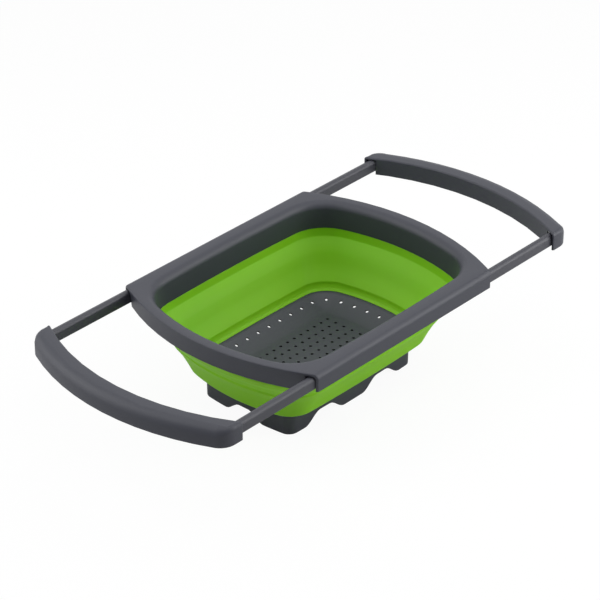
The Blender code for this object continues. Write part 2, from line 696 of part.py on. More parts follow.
def grip_outline(inset):
    # plan of the bow, inset by the given amount all round, counter-clockwise
    inner_r = grip_inner_radius + inset
    inner_c = grip_inner_x + inset - inner_r
    outer_r = grip_outer_radius - inset
    outer_c = grip_outer_x - inset - outer_r
    end_y = grip_half_width - inset
    corner_r = max(GRIP_PLAN_CORNER - inset, GRIP_INNER_CORNER)
    corner = Vector((outer_c + sqrt((outer_r - corner_r) ** 2 - (end_y - corner_r) ** 2), end_y - corner_r))
    small_r = GRIP_INNER_CORNER
    small = Vector((inner_c + sqrt((inner_r + small_r) ** 2 - (end_y - small_r) ** 2), end_y - small_r))
    outer_turn = Vector((corner.x - outer_c, corner.y)).angle_signed(Vector((1.0, 0.0)))
    inner_turn = Vector((small.x - inner_c, small.y)).angle_signed(Vector((1.0, 0.0)))
    bow_steps = END_STEPS * 2
    half = [Vector((grip_outer_x - inset, 0.0))]
    half += arc_points((outer_c, 0.0), outer_r, 0.0, outer_turn, END_STEPS + 1)
    half += arc_points(corner, corner_r, outer_turn, pi / 2, CORNER_STEPS)
    outer_count = len(half)
    half += arc_points(small, small_r, pi / 2, pi + inner_turn, 2)
    half.insert(outer_count, Vector((small.x, end_y)))
    inner = arc_points((inner_c, 0.0), inner_r, inner_turn, 0.0, bow_steps // 2)
    half += inner
    loop = half + [Vector((p.x, -p.y)) for p in reversed(half[1:-1])]
    # the top edge's round at each point: large outside, smaller over the ends, small inside
    start = END_STEPS + 1
    rounds = []
    for i in range(len(half)):
        share = min(max((i - start) / CORNER_STEPS, 0.0), 1.0)
        outer_round = GRIP_OUTER_ROUND + (GRIP_END_ROUND - GRIP_OUTER_ROUND) * share
        rounds.append(outer_round if i <= outer_count else GRIP_INNER_ROUND)
    return loop, rounds + rounds[-2:0:-1]


def grip_skin(name, inset, foot_z, top_z):
    # the bow's skin: straight walls, then the rounds of its top edge
    edge, rounds = grip_outline(inset)
    middle, _ = grip_outline(inset + GRIP_INNER_ROUND)
    loops = [raise_loop(edge, foot_z)]
    for i in range(ROUND_STEPS + 1):
        turn = pi / 2 * i / ROUND_STEPS
        loop = []
        for outside, inside, size in zip(edge, middle, rounds):
            radius = max(size - inset, GAP)
            point = outside.lerp(inside, radius * (1 - cos(turn)) / GRIP_INNER_ROUND)
            loop.append(Vector((point.x, point.y, top_z - radius * (1 - sin(turn)))))
        loops.append(loop)
    return loft(name, loops, False)


def mirror_mesh(mesh, name):
    bm = bmesh.new()
    bm.from_mesh(mesh)
    bmesh.ops.transform(bm, matrix=Matrix.Diagonal((-1.0, 1.0, 1.0, 1.0)), verts=bm.verts[:])
    copy = mesh_from(bm, name)
    for material in mesh.materials:
        copy.materials.append(material)
    return copy


def evaluated_mesh(thing):
    bpy.context.view_layer.update()
    return bpy.data.meshes.new_from_object(thing.evaluated_get(bpy.context.evaluated_depsgraph_get()))


def build_grips():
    skin = grip_skin("right_grip", 0.0, grip_foot_z, grip_top_z)
    right = add_object("right_grip", skin, FRAME_GREY)
    hollow = grip_skin("grip_hollow", GRIP_WALL, grip_foot_z - CUT, grip_top_z - GRIP_WALL)
    boolean(right, add_object("grip_hollow", hollow, cutter=True), "DIFFERENCE")

    bosses = bmesh.new()
    cuts = bmesh.new()
    for side in (-1, 1):
        y = side * rail_y
        post_into(
            bosses, grip_boss_x, y, grip_boss_z, grip_top_z - GRIP_WALL / 2, GRIP_BOSS_RADIUS, SCREW_SIDES,
        )
        post_into(
            cuts, grip_boss_x, y, grip_boss_z - CUT,
            rail_foot_z + SCREW_HEAD_HEIGHT + GRIP_SCREW_LENGTH + GAP * 2,
            SCREW_SHANK_RADIUS + GAP, SCREW_SIDES,
        )
        low_y, high_y = sorted((
            side * (rail_y - RAIL_WIDTH / 2 - RAIL_GUIDE_GAP),
            side * min(rail_y + RAIL_WIDTH / 2 + RAIL_SIDE_GAP, grip_half_width - GRIP_WALL),
        ))
        notch_x = arc_x(grip_inner_x, grip_inner_radius, grip_half_width) - CUT
        notch_end = arc_x(grip_inner_x, grip_inner_radius, guide_outer_y) + GRIP_WALL + GRIP_INNER_CORNER
        box_into(cuts, (notch_x, low_y, grip_foot_z - CUT), (notch_end, high_y, rail_top_z + RAIL_ROOF_GAP / 2))
    boolean(right, add_object("grip_bosses", mesh_from(bosses, "grip_bosses"), cutter=True), "UNION")
    boolean(right, add_object("grip_cuts", mesh_from(cuts, "grip_cuts"), cutter=True), "DIFFERENCE")
    left = add_object("left_grip", mirror_mesh(evaluated_mesh(right), "left_grip"), FRAME_GREY)
    return left, right


def rail_mesh():
    # a bar with a round top, its inner end at x = 0 and its foot at z = 0
    length = rail_outer_x - shoe_outer_x
    half = RAIL_WIDTH / 2
    section = []
    corners = (
        (half - RAIL_TOP_RADIUS, RAIL_HEIGHT - RAIL_TOP_RADIUS, RAIL_TOP_RADIUS, 0.0),
        (-half + RAIL_TOP_RADIUS, RAIL_HEIGHT - RAIL_TOP_RADIUS, RAIL_TOP_RADIUS, pi / 2),
        (-half + RAIL_FOOT_RADIUS, RAIL_FOOT_RADIUS, RAIL_FOOT_RADIUS, pi),
        (half - RAIL_FOOT_RADIUS, RAIL_FOOT_RADIUS, RAIL_FOOT_RADIUS, pi * 3 / 2),
    )
    for y, z, radius, start in corners:
        section.append(Vector((y + radius * cos(start), z + radius * sin(start))))
        section += arc_points((y, z), radius, start, start + pi / 2, ROUND_STEPS)
    loops = [[Vector((x, p.x, p.y)) for p in section] for x in (0.0, length)]
    return loft("rail", loops, False)


def build_rails(lefts, rights):
    # one rail shape, cut for the boss and the screw and given its tongue, then copied
    right = add_object("right_near_rail", rail_mesh(), RAIL_GREY)
    boss_x = grip_boss_x - shoe_outer_x
    tongue = bmesh.new()
    half_y = RAIL_WIDTH / 2 - SHOE_WALL
    box_into(tongue, (-SHOE_TONGUE, -half_y, SHOE_WALL * 2), (SHOE_TONGUE, half_y, RAIL_HEIGHT - RAIL_TOP_RADIUS))
    boolean(right, add_object("rail_tongue", mesh_from(tongue, "rail_tongue"), cutter=True), "UNION")
    cuts = bmesh.new()
    boss_floor = SCREW_HEAD_HEIGHT + GAP + RAIL_WEB
    post_into(cuts, boss_x, 0.0, boss_floor, RAIL_HEIGHT + CUT, GRIP_BOSS_RADIUS + GAP, SCREW_SIDES)
    post_into(cuts, boss_x, 0.0, -CUT, boss_floor + CUT, SCREW_SHANK_RADIUS + GAP, SCREW_SIDES)
    post_into(cuts, boss_x, 0.0, -CUT, SCREW_HEAD_HEIGHT + GAP, SCREW_HEAD_RADIUS + GAP, SCREW_SIDES)
    boolean(right, add_object("rail_cuts", mesh_from(cuts, "rail_cuts"), cutter=True), "DIFFERENCE", True)
    shape = evaluated_mesh(right)
    right.modifiers.clear()
    right.data = shape
    left_shape = mirror_mesh(shape, "left_rail")
    rails = [right]
    for name, mesh in (("right_far_rail", shape), ("left_near_rail", left_shape), ("left_far_rail", left_shape)):
        rails.append(add_object(name, mesh, RAIL_GREY))
    for rail in rails:
        end = 1 if rail.name.startswith("right") else -1
        side = -1 if "near" in rail.name else 1
        rail.location = (end * shoe_outer_x, side * rail_y, rail_foot_z)
        set_body(rail, rights if end > 0 else lefts)
    return rails


def shoe_mesh():
    # the slide shoe on a rail's inner end: taller than the rail, so that it meets the stop
    half_y = RAIL_WIDTH / 2 + RAIL_GUIDE_GAP - GAP
    height = RAIL_HEIGHT + RAIL_ROOF_GAP - GAP
    bm = bmesh.new()
    box_into(bm, (-SHOE_LENGTH, -half_y, 0.0), (-GAP, half_y, height))
    top_edges = [e for e in bm.edges if all(v.co.z > height / 2 for v in e.verts)]
    long_edges = [e for e in top_edges if abs(e.verts[0].co.x - e.verts[1].co.x) > SHOE_LENGTH / 2]
    for edges, size, segments in ((long_edges, SHOE_TOP_ROUND, ROUND_STEPS), (None, SHOE_EDGE, 1)):
        sharp = edges or [e for e in bm.edges if e.calc_face_angle() > pi / 3]
        bmesh.ops.bevel(
            bm, geom=sharp, offset=size, offset_type="OFFSET", segments=segments, profile=0.5,
            affect="EDGES",
        )
    return mesh_from(bm, "shoe")


def build_shoes(lefts, rights):
    pocket = bmesh.new()
    half_y = RAIL_WIDTH / 2 - SHOE_WALL + GAP
    box_into(
        pocket, (-SHOE_TONGUE - GAP, -half_y, SHOE_WALL * 2 - GAP),
        (CUT, half_y, RAIL_HEIGHT - RAIL_TOP_RADIUS + GAP),
    )
    first = add_object("right_near_shoe", shoe_mesh(), NATURAL_PLASTIC)
    boolean(first, add_object("shoe_pocket", mesh_from(pocket, "shoe_pocket"), cutter=True), "DIFFERENCE")
    shape = evaluated_mesh(first)
    first.modifiers.clear()
    first.data = shape
    left_shape = mirror_mesh(shape, "left_shoe")
    shoes = [first]
    for name, mesh in (("right_far_shoe", shape), ("left_near_shoe", left_shape), ("left_far_shoe", left_shape)):
        shoes.append(add_object(name, mesh, NATURAL_PLASTIC))
    for shoe in shoes:
        end = 1 if shoe.name.startswith("right") else -1
        side = -1 if "near" in shoe.name else 1
        shoe.location = (end * shoe_outer_x, side * rail_y, rail_foot_z)
        set_body(shoe, rights if end > 0 else lefts)


# Channel covers and screws

def turned(name, profile):
    # a profile at +X, listed from top to bottom, turned once round Z
    bm = bmesh.new()
    verts = [bm.verts.new((r, 0.0, z)) for r, z in profile]
    for a, b in zip(verts, verts[1:]):
        bm.edges.new((a, b))
    mesh = bpy.data.meshes.new(name)
    bm.to_mesh(mesh)
    bm.free()
    thing = add_object(name, mesh, SCREW_STEEL)
    screw = thing.modifiers.new("turn", "SCREW")
    screw.axis = "Z"
    screw.angle = 2 * pi
    screw.steps = SCREW_SIDES
    screw.render_steps = SCREW_SIDES
    screw.use_merge_vertices = True
    screw.merge_threshold = 0.00001
    return thing


def build_cover_screws(frame_body):
    # countersunk screws whose flat heads lie flush in the covers
    head = COVER_SCREW_HEAD_HEIGHT
    profile = [
        (0.0, COVER_SCREW_LENGTH),
        (SCREW_SHANK_RADIUS, COVER_SCREW_LENGTH),
        (SCREW_SHANK_RADIUS, head),
        (SCREW_HEAD_RADIUS, 0.0),
        (0.0, 0.0),
    ]
    foot_z = cover_top_z - CHANNEL_COVER_THICKNESS
    first = None
    for side, where in ((-1, "near"), (1, "far")):
        for number, share in enumerate(COVER_SCREW_SHARES, 1):
            name = f"{where}_cover_screw_{number}"
            if first is None:
                first = turned(name, profile)
                screw = first
            else:
                screw = add_object(name, first.data)
                copy_modifiers(first, screw)
            screw.location = (share * cover_half_length, side * cover_boss_y, foot_z + GAP)
            set_body(screw, frame_body)


def copy_modifiers(source, target):
    for old in source.modifiers:
        new = target.modifiers.new(old.name, old.type)
        for key in ("axis", "angle", "steps", "render_steps", "use_merge_vertices", "merge_threshold"):
            setattr(new, key, getattr(old, key))


def build_grip_screws(lefts, rights):
    # pan-head screws up through the rails into the grips' bosses
    head = SCREW_HEAD_HEIGHT
    profile = [
        (0.0, head + GRIP_SCREW_LENGTH),
        (SCREW_SHANK_RADIUS, head + GRIP_SCREW_LENGTH),
        (SCREW_SHANK_RADIUS, head),
        (SCREW_HEAD_RADIUS, head),
        (SCREW_HEAD_RADIUS, head * SCREW_RIM_SHARE),
        (SCREW_HEAD_RADIUS * SCREW_CROWN_SHARE, 0.0),
        (0.0, 0.0),
    ]
    first = None
    for end, which in ((-1, "left"), (1, "right")):
        for side, where in ((-1, "near"), (1, "far")):
            name = f"{which}_{where}_grip_screw"
            if first is None:
                first = turned(name, profile)
                screw = first
            else:
                screw = add_object(name, first.data)
                copy_modifiers(first, screw)
            screw.location = (end * grip_boss_x, side * rail_y, rail_foot_z)
            set_body(screw, rights if end > 0 else lefts)


def build_channel_covers(frame_body):
    # strips under the long flanges that keep the rails in their channels
    low_z = cover_top_z - CHANNEL_COVER_THICKNESS
    inner_y = neck_half_width + NECK_DRAFT + FRAME_WALL + GAP
    for side, where in ((-1, "near"), (1, "far")):
        strip = bmesh.new()
        low_y, high_y = sorted((side * inner_y, side * (channel_outer_y - GAP)))
        box_into(strip, (-cover_half_length, low_y, low_z), (cover_half_length, high_y, cover_top_z))
        cover = add_object(f"{where}_channel_cover", mesh_from(strip, f"{where}_channel_cover"), FRAME_GREY)
        cuts = bmesh.new()
        for share in COVER_SCREW_SHARES:
            x, y = share * cover_half_length, side * cover_boss_y
            matrix = Matrix.Translation((x, y, low_z + GAP + COVER_SCREW_HEAD_HEIGHT / 2))
            bmesh.ops.create_cone(
                cuts, cap_ends=True, segments=SCREW_SIDES, radius1=SCREW_HEAD_RADIUS + GAP * 2,
                radius2=SCREW_SHANK_RADIUS + GAP, depth=COVER_SCREW_HEAD_HEIGHT + GAP * 2, matrix=matrix,
            )
            post_into(
                cuts, x, y, low_z - CUT, cover_top_z + CUT, SCREW_SHANK_RADIUS + GAP, SCREW_SIDES,
            )
        cutter = add_object(f"{where}_cover_cuts", mesh_from(cuts, f"{where}_cover_cuts"), cutter=True)
        boolean(cover, cutter, "DIFFERENCE", True)
        set_body(cover, frame_body)


def build_colander():
    frame_body = body_empty("frame_body", (0.0, 0.0, skirt_z))
    base_body = body_empty("base_body", (0.0, 0.0, BASE_EDGE_Z))
    left_body = body_empty("left_handle_body", (-grip_inner_x, 0.0, rail_foot_z))
    right_body = body_empty("right_handle_body", (grip_inner_x, 0.0, rail_foot_z))
    set_body(build_rim_frame(), frame_body)
    set_body(build_basket(), base_body)
    build_channel_covers(frame_body)
    build_cover_screws(frame_body)
    set_body(build_base(), base_body)
    left_grip, right_grip = build_grips()
    set_body(left_grip, left_body)
    set_body(right_grip, right_body)
    build_rails(left_body, right_body)
    build_shoes(left_body, right_body)
    build_grip_screws(left_body, right_body)


build_colander()
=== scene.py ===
# Looks for the collapsible over-the-sink colander: moulded grey plastic, folding green
# silicone and a perforated base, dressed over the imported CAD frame.

from math import atan2, cos, hypot, pi, radians, sin, sqrt

import bmesh
import bpy
from mathutils import Matrix, Vector


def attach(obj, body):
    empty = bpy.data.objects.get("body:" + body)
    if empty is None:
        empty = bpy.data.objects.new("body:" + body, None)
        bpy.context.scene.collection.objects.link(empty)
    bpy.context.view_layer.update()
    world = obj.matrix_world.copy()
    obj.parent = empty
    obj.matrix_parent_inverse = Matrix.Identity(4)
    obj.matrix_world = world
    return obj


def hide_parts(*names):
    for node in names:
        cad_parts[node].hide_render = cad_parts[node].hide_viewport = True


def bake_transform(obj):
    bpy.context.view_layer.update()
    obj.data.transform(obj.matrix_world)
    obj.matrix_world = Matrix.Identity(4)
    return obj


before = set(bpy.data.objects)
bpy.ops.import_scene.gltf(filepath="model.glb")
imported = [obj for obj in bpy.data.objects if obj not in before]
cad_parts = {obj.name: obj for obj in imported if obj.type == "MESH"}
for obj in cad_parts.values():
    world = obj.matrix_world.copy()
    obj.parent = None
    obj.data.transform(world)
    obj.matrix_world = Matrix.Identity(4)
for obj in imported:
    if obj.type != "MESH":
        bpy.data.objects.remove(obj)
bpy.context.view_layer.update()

scene = bpy.context.scene
scene.view_settings.view_transform = "Standard"
print("frame loaded")


# Shader maths: a Value wraps a socket, so that 1 - mask makes its Math node

class Value:
    def __init__(self, tree, socket):
        self.tree = tree
        self.socket = socket

    def maths(self, operation, *others):
        node = self.tree.nodes.new("ShaderNodeMath")
        node.operation = operation
        for place, item in enumerate(others):
            if isinstance(item, Value):
                self.tree.links.new(item.socket, node.inputs[place])
            else:
                node.inputs[place].default_value = item
        return Value(self.tree, node.outputs[0])

    def __add__(self, other): return self.maths("ADD", self, other)
    def __radd__(self, other): return self.maths("ADD", other, self)
    def __sub__(self, other): return self.maths("SUBTRACT", self, other)
    def __rsub__(self, other): return self.maths("SUBTRACT", other, self)
    def __mul__(self, other): return self.maths("MULTIPLY", self, other)
    def __rmul__(self, other): return self.maths("MULTIPLY", other, self)
    def __truediv__(self, other): return self.maths("DIVIDE", self, other)
    def __rtruediv__(self, other): return self.maths("DIVIDE", other, self)
    def __pow__(self, other): return self.maths("POWER", self, other)
    def __rpow__(self, other): return self.maths("POWER", other, self)
    def clamped(self): return self.maths("MINIMUM", self.maths("MAXIMUM", self, 0.0), 1.0)
    def larger(self, other): return self.maths("MAXIMUM", self, other)


class Finish:
    # the node tree of a material or of the world
    def __init__(self, owner):
        self.owner = owner
        owner.use_nodes = True
        self.tree = owner.node_tree
        self.tree.nodes.clear()

    def add(self, kind, settings=None, sockets=None, out=0):
        # settings such as a data type are set first, then the sockets' values or links
        node = self.tree.nodes.new("ShaderNode" + kind)
        for key, value in (settings or {}).items():
            setattr(node, key, value)
        for key, value in (sockets or {}).items():
            if isinstance(value, Value):
                self.tree.links.new(value.socket, node.inputs[key])
            elif node.inputs[key].type == "RGBA":
                node.inputs[key].default_value = (*value, 1.0)
            else:
                node.inputs[key].default_value = value
        return Value(self.tree, node.outputs[out]) if node.outputs else None

    def noise(self, scale, detail=2.0):
        place = self.add("TexCoord", out="Object")
        return self.add("TexNoise", sockets={"Vector": place, "Scale": scale, "Detail": detail})

    def mix(self, share, low, high):
        # colours go through Mix, because a Math node turns them grey; 6, 7 and 2 are its
        # colour sockets
        return self.add("Mix", {"data_type": "RGBA"}, {0: share, 6: low, 7: high}, out=2)

    def show(self, shader, output="OutputMaterial"):
        self.add(output, sockets={"Surface": shader})
        return self.owner


# Moulded plastic: a fine spark texture, a slightly uneven gloss and a cloudy tone

noiseMiddle = 0.5

plasticSurface = {
    # shared by all the plastics; depth in metres
    "cloudScale": 14.0, "cloudDetail": 3.0, "cloudStart": 0.35, "cloudShare": 0.8,
    "pitScale": 0.35, "pitDetail": 1.0, "pitGloss": 0.06,
    "grainHeight": 0.6, "pitHeight": 0.4, "depth": 0.0004, "ior": 1.49,
}
framePlastic = {
    "colour": (0.0355, 0.0380, 0.0530), "light": (0.0415, 0.0440, 0.0600),
    "roughness": 0.50, "cloudGloss": 0.05, "grain": 0.10, "grainScale": 1500.0,
}
railPlastic = {
    "colour": (0.0420, 0.0430, 0.0560), "light": (0.0490, 0.0500, 0.0630),
    "roughness": 0.46, "cloudGloss": 0.04, "grain": 0.06, "grainScale": 1800.0,
}
basePlastic = {
    "colour": (0.0420, 0.0455, 0.0580), "light": (0.0480, 0.0515, 0.0640),
    "roughness": 0.50, "cloudGloss": 0.05, "grain": 0.10, "grainScale": 1500.0,
}
holePaintedShade = {
    # painted shade: the walls of the small holes are coloured near black, as light hardly reaches
    # them
    "colour": (0.0060, 0.0065, 0.0075), "light": (0.0080, 0.0085, 0.0095),
    "roughness": 0.75, "cloudGloss": 0.05, "grain": 0.05, "grainScale": 1500.0,
}


def makePlastic(name, own):
    look = {**plasticSurface, **own}
    finish = Finish(bpy.data.materials.new(name))
    clouds = finish.noise(look["cloudScale"], look["cloudDetail"])
    grain = finish.noise(look["grainScale"])
    pits = finish.noise(look["grainScale"] * look["pitScale"], look["pitDetail"])
    share = (clouds - look["cloudStart"]).clamped() * look["cloudShare"]
    gloss = (clouds - noiseMiddle) * look["cloudGloss"] + (pits - noiseMiddle) * look["pitGloss"]
    normal = finish.add("Bump", sockets={
        "Strength": look["grain"], "Distance": look["depth"],
        "Height": grain * look["grainHeight"] + pits * look["pitHeight"],
    })
    shader = finish.add("BsdfPrincipled", sockets={
        "Base Color": finish.mix(share, look["colour"], look["light"]),
        "Roughness": look["roughness"] + gloss, "Normal": normal, "IOR": look["ior"],
    })
    return finish.show(shader)


siliconeLook = {
    # depth and scatter in metres
    "colour": (0.292, 0.685, 0.012), "deep": (0.240, 0.610, 0.006),
    "cloudScale": 9.0, "cloudStart": 0.3, "cloudGloss": 0.05, "dustScale": 900.0, "dustGloss": 0.10,
    "grain": 0.05, "depth": 0.0003, "roughness": 0.52, "gloss": 0.28,
    "subsurface": 0.15, "reach": (0.6, 1.0, 0.25), "scatter": 0.005,
}


def makeSilicone(name, look):
    finish = Finish(bpy.data.materials.new(name))
    clouds = finish.noise(look["cloudScale"])
    dust = finish.noise(look["dustScale"])
    share = (clouds - look["cloudStart"]).clamped()
    gloss = (dust - noiseMiddle) * look["dustGloss"] + (clouds - noiseMiddle) * look["cloudGloss"]
    normal = finish.add("Bump", sockets={
        "Strength": look["grain"], "Distance": look["depth"], "Height": dust,
    })
    shader = finish.add("BsdfPrincipled", sockets={
        "Base Color": finish.mix(share, look["deep"], look["colour"]),
        "Roughness": look["roughness"] + gloss, "Normal": normal,
        "Specular IOR Level": look["gloss"], "Subsurface Weight": look["subsurface"],
        "Subsurface Radius": look["reach"], "Subsurface Scale": look["scatter"],
    })
    return finish.show(shader)


steelLook = {
    "colour": (0.50, 0.50, 0.51), "light": (0.62, 0.62, 0.63), "cloudScale": 300.0,
    "roughness": 0.26, "cloudGloss": 0.12, "fixed": {"Metallic": 1.0},
}
naturalLook = {
    "colour": (0.56, 0.56, 0.53), "light": (0.64, 0.64, 0.61), "cloudScale": 60.0,
    "roughness": 0.36, "cloudGloss": 0.08,
    "fixed": {"Subsurface Weight": 0.2, "Subsurface Scale": 0.002},
}


def makeCloudy(name, look):
    finish = Finish(bpy.data.materials.new(name))
    clouds = finish.noise(look["cloudScale"])
    shader = finish.add("BsdfPrincipled", sockets={
        "Base Color": finish.mix(clouds, look["colour"], look["light"]),
        "Roughness": look["roughness"] + clouds * look["cloudGloss"], **look["fixed"],
    })
    return finish.show(shader)


finishes = {
    "frame_grey": makePlastic("grey_rim_plastic", framePlastic),
    "rail_grey": makePlastic("grey_rail_plastic", railPlastic),
    "base_grey": makePlastic("dark_base_plastic", basePlastic),
    "hole_painted_shade": makePlastic("painted_shade_hole_walls", holePaintedShade),
    "green_silicone": makeSilicone("green_folding_silicone", siliconeLook),
    "natural_plastic": makeCloudy("natural_shoe_plastic", naturalLook),
    "screw_steel": makeCloudy("bright_screw_steel", steelLook),
}
slotOf = {
    # the first of these words in a node's name decides
    "screw": "screw_steel", "rim_frame": "frame_grey", "silicone_basket": "green_silicone",
    "strainer_base": "base_grey", "grip": "frame_grey", "rail": "rail_grey",
    "shoe": "natural_plastic", "cover": "frame_grey",
}


def slotFor(nodeName):
    return next(slot for word, slot in slotOf.items() if word in nodeName)


for nodeName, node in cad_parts.items():
    for slot in node.material_slots:
        slot.material = finishes[slotFor(nodeName)]
print("finishes made")


# Shared mesh steps. Each corner's normal leans to the larger faces round it, so flat faces
# stay flat beside their rounds

mmInMetre = 1000.0
sideRadius = 2500.0  # mm, as the long sides are very slightly bowed


def meshFrom(bm, name):
    mesh = bpy.data.meshes.new(name)
    bm.to_mesh(mesh)
    bm.free()
    return mesh


def leanNormals(mesh, sharpAngle):
    limit = cos(radians(sharpAngle))
    faces = [(polygon.normal.copy(), polygon.area) for polygon in mesh.polygons]
    around = {}
    for polygon in mesh.polygons:
        for index in polygon.vertices:
            around.setdefault(index, []).append(polygon.index)
    normals = [None] * len(mesh.loops)
    for polygon in mesh.polygons:
        own = faces[polygon.index][0]
        for loop in polygon.loop_indices:
            total = Vector()
            for other in around[mesh.loops[loop].vertex_index]:
                normal, area = faces[other]
                if normal.dot(own) > limit:
                    total += normal * area
            normals[loop] = (total or own).normalized()
    mesh.normals_split_custom_set(normals)


def placePiece(mesh, name, slot, sharpAngle):
    mesh.name = name
    if not mesh.materials:
        mesh.materials.append(finishes[slot])
    mesh.polygons.foreach_set("use_smooth", [True] * len(mesh.polygons))
    leanNormals(mesh, sharpAngle)
    piece = bpy.data.objects.new(name, mesh)
    scene.collection.objects.link(piece)
    return piece


# Silicone basket: rings pulled down one another, with every fold rounded by a bevel

basket = {
    # each ring's half length, half width, corner, end radius, height and fold's round, in mm
    "rings": [
        (123.6, 82.2, 29.5, 234.0, 32.1, 0.9),
        (126.0, 84.4, 30.0, 236.0, 34.4, 1.6),
        (131.2, 89.3, 33.0, 240.0, 46.2, 3.6),
        (138.0, 96.4, 40.0, 247.0, 59.3, 3.0),
        (144.9, 102.9, 44.4, 252.5, 69.2, 0.9),
        (144.7, 102.7, 44.2, 252.5, 71.8, 0.9),
        (147.6, 105.4, 44.5, 255.0, 75.6, 2.0),
        (153.2, 110.8, 47.0, 262.0, 82.6, 2.0),
        (159.4, 116.2, 52.0, 269.5, 88.6, 1.5),
        (163.4, 119.4, 50.0, 274.0, 95.6, 1.0),
        (164.7, 120.8, 52.0, 275.0, 104.2, 0.7),
        # over the collar and down the inside
        (162.5, 118.5, 50.0, 273.0, 104.2, 0.3),
        (162.2, 118.2, 49.7, 272.7, 97.3, 0.0),
        (159.7, 115.7, 47.2, 270.2, 97.3, 0.6),
        (157.4, 113.9, 48.0, 267.5, 88.2, 1.0),
        (147.6, 104.6, 45.0, 258.0, 78.8, 6.0),
        (136.3, 95.0, 41.5, 246.0, 60.5, 6.0),
        (125.3, 85.0, 37.5, 236.0, 48.3, 0.7),
        (124.6, 84.3, 37.1, 235.3, 45.0, 1.2),
        (122.7, 82.6, 36.0, 233.3, 41.3, 1.4),
        (119.8, 79.8, 34.0, 231.0, 38.9, 0.3),
        # round the slot that grips the base's edge
        (122.2, 82.2, 33.0, 233.0, 38.9, 0.0),
        (122.2, 82.2, 33.0, 233.0, 36.5, 0.0),
        (118.8, 78.8, 31.0, 229.0, 36.5, 0.3),
        (119.6, 79.6, 31.6, 230.0, 32.1, 0.7),
    ],
    "steps": (12, 16, 10), "foldSegments": 4, "sharpAngle": 50.0,
}


def cornerPlace(halfLength, halfWidth, corner, endRadius):
    # centre of the corner arc that touches the end's bow and the side's bow
    endX, sideY = halfLength - endRadius, halfWidth - sideRadius
    fromEnd, fromSide, span = endRadius - corner, sideRadius - corner, hypot(endX, sideY)
    along = (fromEnd ** 2 - fromSide ** 2 + span ** 2) / (2 * span)
    across = sqrt(max(fromEnd ** 2 - along ** 2, 0.0))
    ux, uy = -endX / span, sideY / span
    crossings = [
        (endX + ux * along - uy * across * side, uy * along + ux * across * side)
        for side in (-1, 1)
    ]
    return max(crossings, key=sum)


def oblong(halfLength, halfWidth, corner, endRadius, steps):
    # points of a rounded oblong with bowed ends, anticlockwise from the middle of +X
    cx, cy = cornerPlace(halfLength, halfWidth, corner, endRadius)
    endX, sideY = halfLength - endRadius, halfWidth - sideRadius
    endTurn, sideTurn = atan2(cy, cx - endX), atan2(cy - sideY, cx)
    arcs = (
        (endX, 0.0, endRadius, 0.0, endTurn), (cx, cy, corner, endTurn, sideTurn),
        (0.0, sideY, sideRadius, sideTurn, pi / 2),
    )
    quarter = [(halfLength, 0.0)]
    for (x, y, radius, start, stop), count in zip(arcs, steps):
        for i in range(1, count + 1):
            turn = start + (stop - start) * i / count
            quarter.append((x + radius * cos(turn), y + radius * sin(turn)))
    ring = quarter + [(-x, y) for x, y in reversed(quarter[:-1])]
    return ring + [(-x, -y) for x, y in quarter[1:]] + [(x, -y) for x, y in reversed(quarter[1:-1])]


def pullRings(rows, steps, foldSegments, closed):
    # a loop of points is pulled from ring to ring, and each ring's fold is then rounded; the
    # first circle's radius doesn't matter, because its points are placed on the first ring
    count = 4 * sum(steps)
    bm = bmesh.new()
    ring = bmesh.ops.create_circle(bm, segments=count, radius=0.1)["verts"]
    edges = bm.edges[:]
    rings, order = [], {}
    for index, (halfLength, halfWidth, corner, endRadius, height, _) in enumerate(rows):
        if index:
            grown = bmesh.ops.extrude_edge_only(bm, edges=edges)["geom"]
            edges = [g for g in grown if isinstance(g, bmesh.types.BMEdge)]
            # a new ring's points follow the order of the ring that they grew from
            partner = {}
            for vert in (g for g in grown if isinstance(g, bmesh.types.BMVert)):
                for edge in vert.link_edges:
                    if edge.other_vert(vert) in order:
                        partner[order[edge.other_vert(vert)]] = vert
            ring = [partner[i] for i in range(count)]
        order = {vert: i for i, vert in enumerate(ring)}
        for vert, (x, y) in zip(ring, oblong(halfLength, halfWidth, corner, endRadius, steps)):
            z = height(x, y) if callable(height) else height
            vert.co = (x / mmInMetre, y / mmInMetre, z / mmInMetre)
        rings.append(edges)
    if closed:
        bmesh.ops.bridge_loops(bm, edges=rings[0] + rings[-1])
    for edges, (*_, fold) in zip(rings, rows):
        if fold:
            bmesh.ops.bevel(
                bm, geom=[e for e in edges if e.is_valid], offset=fold / mmInMetre,
                offset_type="OFFSET", segments=foldSegments, profile=0.5, affect="EDGES",
                material=-1,
            )
    return bm


wall = pullRings(basket["rings"], basket["steps"], basket["foldSegments"], True)
bmesh.ops.recalc_face_normals(wall, faces=wall.faces[:])
silicone = placePiece(
    meshFrom(wall, "silicone_basket_skin"), "silicone_basket_skin", "green_silicone",
    basket["sharpAngle"],
)
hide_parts("silicone_basket")
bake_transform(silicone)
print("silicone basket made")


# Strainer base: a dished plate and a scalloped foot ring, joined into one and then drilled

